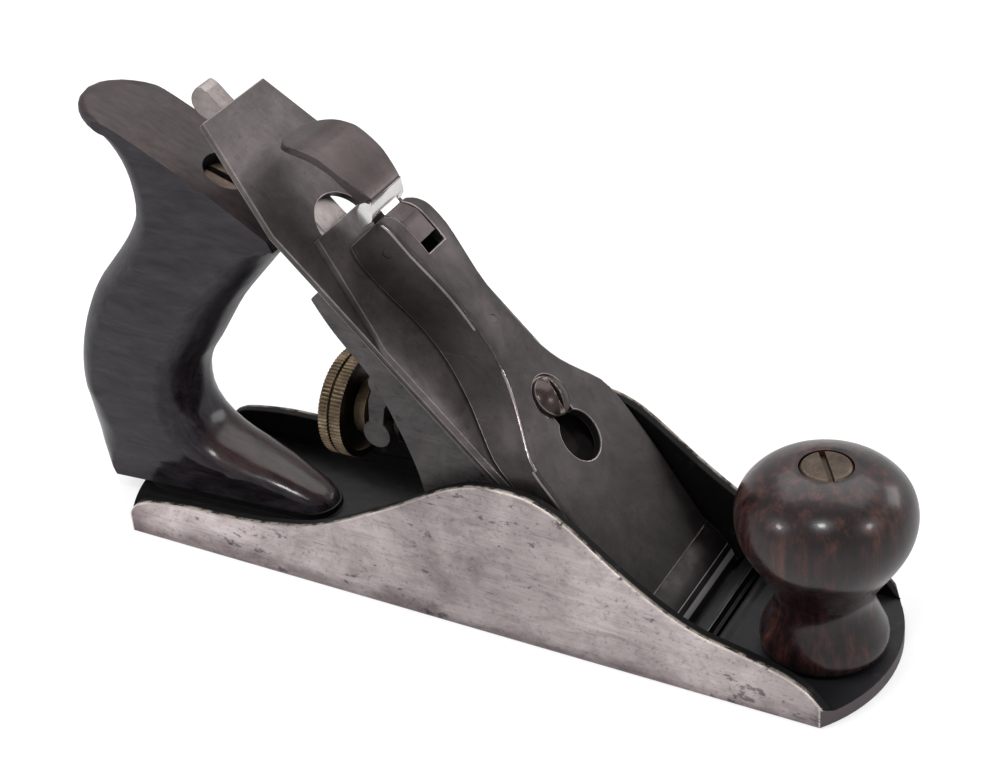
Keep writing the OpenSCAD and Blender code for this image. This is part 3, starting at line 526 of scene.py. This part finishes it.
# The larger merge takes out thin slivers on the thumb leaf
dress("cam_lever", [M_CAM, M_LEVERCAP_EDGE, M_KNUCKLE_GLARE], 0.3, limit=34, paint=paint_cam, merge=1.2e-4)
dress("cam_pin", [M_LEVERCAP])
dress("cap_spring", [M_LATERAL], 0.1, 1)
dress("spring_rivet", [M_LEVERCAP])
dress("tote", [M_TOTE], sharp=44)
dress("tote_rod", [M_SCREW], 0.3)
dress("tote_nut", [M_NUT, M_NUT_EDGE], 0.18, limit=35, edge_mat=1)
dress("knob", [M_KNOB])
dress("knob_rod", [M_SCREW], 0.3)
dress("knob_nut", [M_NUT, M_NUT_EDGE], 0.18, limit=35, edge_mat=1)


# Stage, light and camera
def white_when_seen(tree, shader_out, strength, mirrored):
    """Adds a plain white for what the camera or a refraction sees, and a dimmer one for reflections"""
    path = tree.nodes.new("ShaderNodeLightPath")
    total = shader_out
    for ray, power in (("Is Camera Ray", strength), ("Is Glossy Ray", mirrored),
                       ("Is Transmission Ray", strength)):
        glow = tree.nodes.new("ShaderNodeEmission")
        glow.inputs["Color"].default_value = (*WHITE, 1)
        glow.inputs["Strength"].default_value = power
        none = tree.nodes.new("ShaderNodeEmission")
        none.inputs["Strength"].default_value = 0
        choice = tree.nodes.new("ShaderNodeMixShader")
        tree.links.new(path.outputs[ray], choice.inputs[0])
        tree.links.new(none.outputs[0], choice.inputs[1])
        tree.links.new(glow.outputs[0], choice.inputs[2])
        add = tree.nodes.new("ShaderNodeAddShader")
        tree.links.new(total, add.inputs[0])
        tree.links.new(choice.outputs[0], add.inputs[1])
        total = add.outputs[0]
    return total


def lay_floor():
    """A pale floor just under the sole, which takes a soft shadow and looks white"""
    mesh = bpy.data.meshes.new("floor")
    bm = bmesh.new()
    bmesh.ops.create_grid(bm, x_segments=8, y_segments=8, size=3.0)
    bm.to_mesh(mesh)
    bm.free()
    floor = bpy.data.objects.new("floor", mesh)
    floor.location.z = -0.0002
    bpy.context.scene.collection.objects.link(floor)
    mat = bpy.data.materials.new("pale_floor")
    mat.use_nodes = True
    tree = mat.node_tree
    bsdf = tree.nodes["Principled BSDF"]
    bsdf.inputs["Base Color"].default_value = (0.42, 0.42, 0.43, 1)
    bsdf.inputs["Roughness"].default_value = 0.9
    bsdf.inputs["Specular IOR Level"].default_value = 0.1
    surface = tree.nodes["Material Output"].inputs["Surface"]
    tree.links.new(white_when_seen(tree, bsdf.outputs[0], 0.62, 0.30), surface)
    mesh.materials.append(mat)


def background(tree, strength=1.0):
    """A white background of this strength"""
    node = tree.nodes.new("ShaderNodeBackground")
    node.inputs["Color"].default_value = (*WHITE, 1)
    node.inputs["Strength"].default_value = strength
    return node


def pick(tree, factor, usual, chosen):
    """The chosen shader where the factor is 1, else the usual one"""
    node = tree.nodes.new("ShaderNodeMixShader")
    tree.links.new(factor, node.inputs[0])
    tree.links.new(usual.outputs[0], node.inputs[1])
    tree.links.new(chosen.outputs[0], node.inputs[2])
    return node


def build_world():
    """White for the camera, a dim even light, and a sky for reflections that darkens upwards"""
    world = bpy.data.worlds.new("studio")
    bpy.context.scene.world = world
    world.use_nodes = True
    tree = world.node_tree
    even = tree.nodes["Background"]
    even.inputs["Color"].default_value = (*WHITE, 1)
    even.inputs["Strength"].default_value = 0.42
    place = tree.nodes.new("ShaderNodeTexCoord")
    height = tree.nodes.new("ShaderNodeSeparateXYZ")
    tree.links.new(place.outputs["Generated"], height.inputs[0])
    sky = tree.nodes.new("ShaderNodeValToRGB")
    low, high = sky.color_ramp.elements
    low.position, low.color = 0.02, (0.80, 0.80, 0.81, 1)
    high.position, high.color = 0.75, (0.34, 0.33, 0.33, 1)
    tree.links.new(height.outputs["Z"], sky.inputs["Fac"])
    mirrored = background(tree)
    tree.links.new(sky.outputs["Color"], mirrored.inputs["Color"])
    path = tree.nodes.new("ShaderNodeLightPath")
    lit = pick(tree, path.outputs["Is Glossy Ray"], even, mirrored)
    seen = pick(tree, path.outputs["Is Camera Ray"], lit, background(tree))
    tree.links.new(seen.outputs[0], tree.nodes["World Output"].inputs["Surface"])


def softbox(name, place, size, power):
    """An area light turned to the middle of the plane"""
    data = bpy.data.lights.new(name, "AREA")
    data.shape = "RECTANGLE"
    data.size, data.size_y = size
    data.energy = power
    ob = bpy.data.objects.new(name, data)
    bpy.context.scene.collection.objects.link(ob)
    ob.location = place
    ob.rotation_euler = (LIGHTS_AIM - Vector(place)).to_track_quat("-Z", "Y").to_euler()
    return ob


def place_camera():
    """The camera solved from the photo: a turn, a height and a roll round a point of the plane"""
    az, el, roll = (math.radians(a) for a in (30.66, 33.02, -4.64))
    target = Vector((1.12, 5.42, 57.16)) * MM
    distance = 601.91 * MM
    back = Vector((math.sin(az) * math.cos(el), -math.cos(az) * math.cos(el), math.sin(el)))
    level_right = Vector((math.cos(az), math.sin(az), 0))
    level_up = back.cross(level_right)
    right = math.cos(roll) * level_right + math.sin(roll) * level_up
    up = -math.sin(roll) * level_right + math.cos(roll) * level_up
    data = bpy.data.cameras.new("camera")
    data.sensor_width = 36
    data.lens = 82.37
    data.clip_end = 20
    camera = bpy.data.objects.new("camera", data)
    bpy.context.scene.collection.objects.link(camera)
    place = Matrix((right, up, back)).transposed().to_4x4()
    place.translation = target + back * distance
    camera.matrix_world = place
    bpy.context.scene.camera = camera


lay_floor()
build_world()

# Three softboxes, and three small lamps that make the bright spots on the knob and the handle
LIGHTS_AIM = Vector((0, 0, 0.05))
LAMP = (0.12, 0.12)
softbox("key_softbox", (-0.55, -0.55, 0.85), (0.7, 0.7), 6.5).visible_glossy = False
softbox("top_softbox", (-0.15, 0.60, 1.15), (1.5, 0.9), 9)
softbox("side_softbox", (0.75, 1.0, 0.62), (0.5, 0.4), 2.5)
softbox("heel_lamp", (-0.65, -0.70, 0.74), LAMP, 1.8)
softbox("front_lamp", (0.20, -0.50, 1.02), LAMP, 2.2)
softbox("toe_lamp", (0.90, -0.03, 0.72), LAMP, 1.2)

place_camera()
bpy.context.scene.view_settings.view_transform = "Standard"
